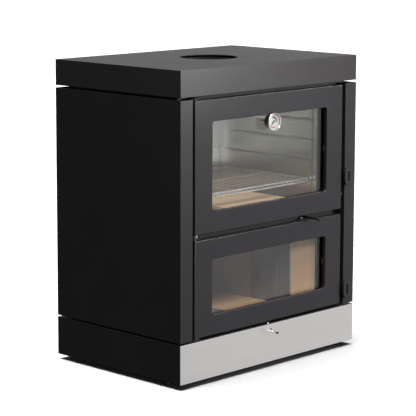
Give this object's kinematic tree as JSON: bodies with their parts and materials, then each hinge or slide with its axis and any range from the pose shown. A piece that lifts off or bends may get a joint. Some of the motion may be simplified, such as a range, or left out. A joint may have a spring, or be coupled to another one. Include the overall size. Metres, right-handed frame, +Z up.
{
  "type": "wood-fired oven stove",
  "caption": "Free-standing wood-fired oven stove: a glazed firebox door below a glazed oven door, painted steel cladding, top flue collar and plinth.",
  "frame": {"origin": "on the floor under the middle of the overall box, rods and knobs included", "axes": "+Z up, the doors face -Y, +X to the right when facing the doors"},
  "size_m": [0.72, 0.529, 0.855],
  "materials": {
    "black_cladding": "fine matte heat-proof paint",
    "black_top": "satin heat-proof paint",
    "door_black": "satin heat-proof paint",
    "plinth_steel": "brushed along its length",
    "carcass_black": "dull black heat-proof paint",
    "zinc_steel": "dull zinc",
    "screw_black": "black oxide",
    "fire_brick": "rough fired clay",
    "lining_board": "rough sooty vermiculite board",
    "floor_iron": "rough cast",
    "duct_steel": "bare heat-dulled steel",
    "oven_steel": "bright polished sheet",
    "oven_stone": "rough fired clay",
    "rack_chrome": "bright",
    "glass_clear": "clear heat-proof glass ceramic",
    "rope_grey": "knitted glass-fibre rope",
    "tape_grey": "woven glass-fibre tape",
    "knob_black": "glossy black",
    "rod_chrome": "bright",
    "gauge_chrome": "bright",
    "dial_white": "white enamel",
    "needle_black": "black enamel",
    "foot_black": "moulded"
  },
  "bodies": {
    "stove": {"left_side_panel": "black_cladding", "right_side_panel": "black_cladding", "back_panel": "black_cladding", "top_cap": "black_top", "flue_collar": "carcass_black", "plinth_frame": "black_cladding", "plinth_front_panel": "plinth_steel", "cladding_brackets": "zinc_steel", "panel_screws": "screw_black", "base_plate": "carcass_black", "carcass_shell": "carcass_black", "carcass_top_plate": "carcass_black", "front_frame": "carcass_black", "firebox_roof": "carcass_black", "floor_bricks": "fire_brick", "floor_plate": "floor_iron", "left_lining": "lining_board", "back_lining": "lining_board", "right_lining": "lining_board", "duct_side_plates": "duct_steel", "duct_front_brick": "fire_brick", "oven_liner": "oven_steel", "oven_floor_stone": "oven_stone", "left_rack_support": "oven_steel", "right_rack_support": "oven_steel", "hinge_lugs": "zinc_steel", "hinge_pins": "zinc_steel", "damper_bush": "zinc_steel", "air_inlet_box": "zinc_steel", "air_rod_guide": "zinc_steel"},
    "oven_door": {"oven_door_frame": "door_black", "oven_door_glass": "glass_clear", "oven_glass_tape": "tape_grey", "oven_glass_clips": "zinc_steel", "oven_door_rope": "rope_grey", "damper_mark": "screw_black", "thermometer_case": "gauge_chrome", "thermometer_bezel": "gauge_chrome", "thermometer_dial": "dial_white", "thermometer_lens": "glass_clear", "thermometer_nut": "zinc_steel"},
    "thermometer_pointer": {"thermometer_needle": "needle_black"},
    "firebox_door": {"firebox_door_frame": "door_black", "firebox_door_glass": "glass_clear", "firebox_glass_tape": "tape_grey", "firebox_glass_clips": "zinc_steel", "firebox_door_rope": "rope_grey"},
    "upper_turn_catch": {"upper_catch": "door_black"},
    "lower_turn_catch": {"lower_catch": "door_black"},
    "rack": {"oven_rack": "rack_chrome"},
    "damper": {"damper_rod": "screw_black", "damper_knob": "knob_black", "damper_plate": "carcass_black"},
    "air_control": {"air_rod": "rod_chrome", "air_knob": "knob_black", "air_valve": "zinc_steel"},
    "front_left_foot": {"foot_front_left": "foot_black"},
    "front_right_foot": {"foot_front_right": "foot_black"},
    "back_left_foot": {"foot_back_left": "foot_black"},
    "back_right_foot": {"foot_back_right": "foot_black"}
  },
  "joints": [
    {"name": "oven_door_hinge", "type": "hinge", "parent": "stove", "child": "oven_door", "pos_m": [-0.292, -0.2125, 0.5915], "axis": [0, 0, -1], "range_deg": [0, 110]},
    {"name": "firebox_door_hinge", "type": "hinge", "parent": "stove", "child": "firebox_door", "pos_m": [-0.292, -0.2125, 0.2635], "axis": [0, 0, -1], "range_deg": [0, 110]},
    {"name": "upper_catch_turn", "type": "hinge", "parent": "stove", "child": "upper_turn_catch", "pos_m": [0.3235, -0.2255, 0.506], "axis": [0, 1, 0], "range_deg": [0, 90]},
    {"name": "lower_catch_turn", "type": "hinge", "parent": "stove", "child": "lower_turn_catch", "pos_m": [0.3235, -0.2255, 0.173], "axis": [0, 1, 0], "range_deg": [0, 90]},
    {"name": "rack_slide", "type": "slide", "parent": "stove", "child": "rack", "axis": [0, -1, 0], "range_m": [0, 0.2]},
    {"name": "damper_slide", "type": "slide", "parent": "stove", "child": "damper", "axis": [0, -1, 0], "range_m": [0, 0.12]},
    {"name": "air_slide", "type": "slide", "parent": "stove", "child": "air_control", "axis": [0, -1, 0], "range_m": [0, 0.02]},
    {"name": "thermometer_needle_turn", "type": "hinge", "parent": "oven_door", "child": "thermometer_pointer", "pos_m": [0, -0.2285, 0.691], "axis": [0, 1, 0], "range_deg": [0, 270]},
    {"name": "front_left_foot_turn", "type": "hinge", "parent": "stove", "child": "front_left_foot", "pos_m": [-0.335, -0.1415, 0.02], "axis": [0, 0, 1], "continuous": true},
    {"name": "front_right_foot_turn", "type": "hinge", "parent": "stove", "child": "front_right_foot", "pos_m": [0.335, -0.1415, 0.02], "axis": [0, 0, 1], "continuous": true},
    {"name": "back_left_foot_turn", "type": "hinge", "parent": "stove", "child": "back_left_foot", "pos_m": [-0.335, 0.1805, 0.02], "axis": [0, 0, 1], "continuous": true},
    {"name": "back_right_foot_turn", "type": "hinge", "parent": "stove", "child": "back_right_foot", "pos_m": [0.335, 0.1805, 0.02], "axis": [0, 0, 1], "continuous": true}
  ],
  "couplings": [
    {"joint": "rack_slide", "follows": "oven_door_hinge", "m_per_rad": 0.1}
  ]
}
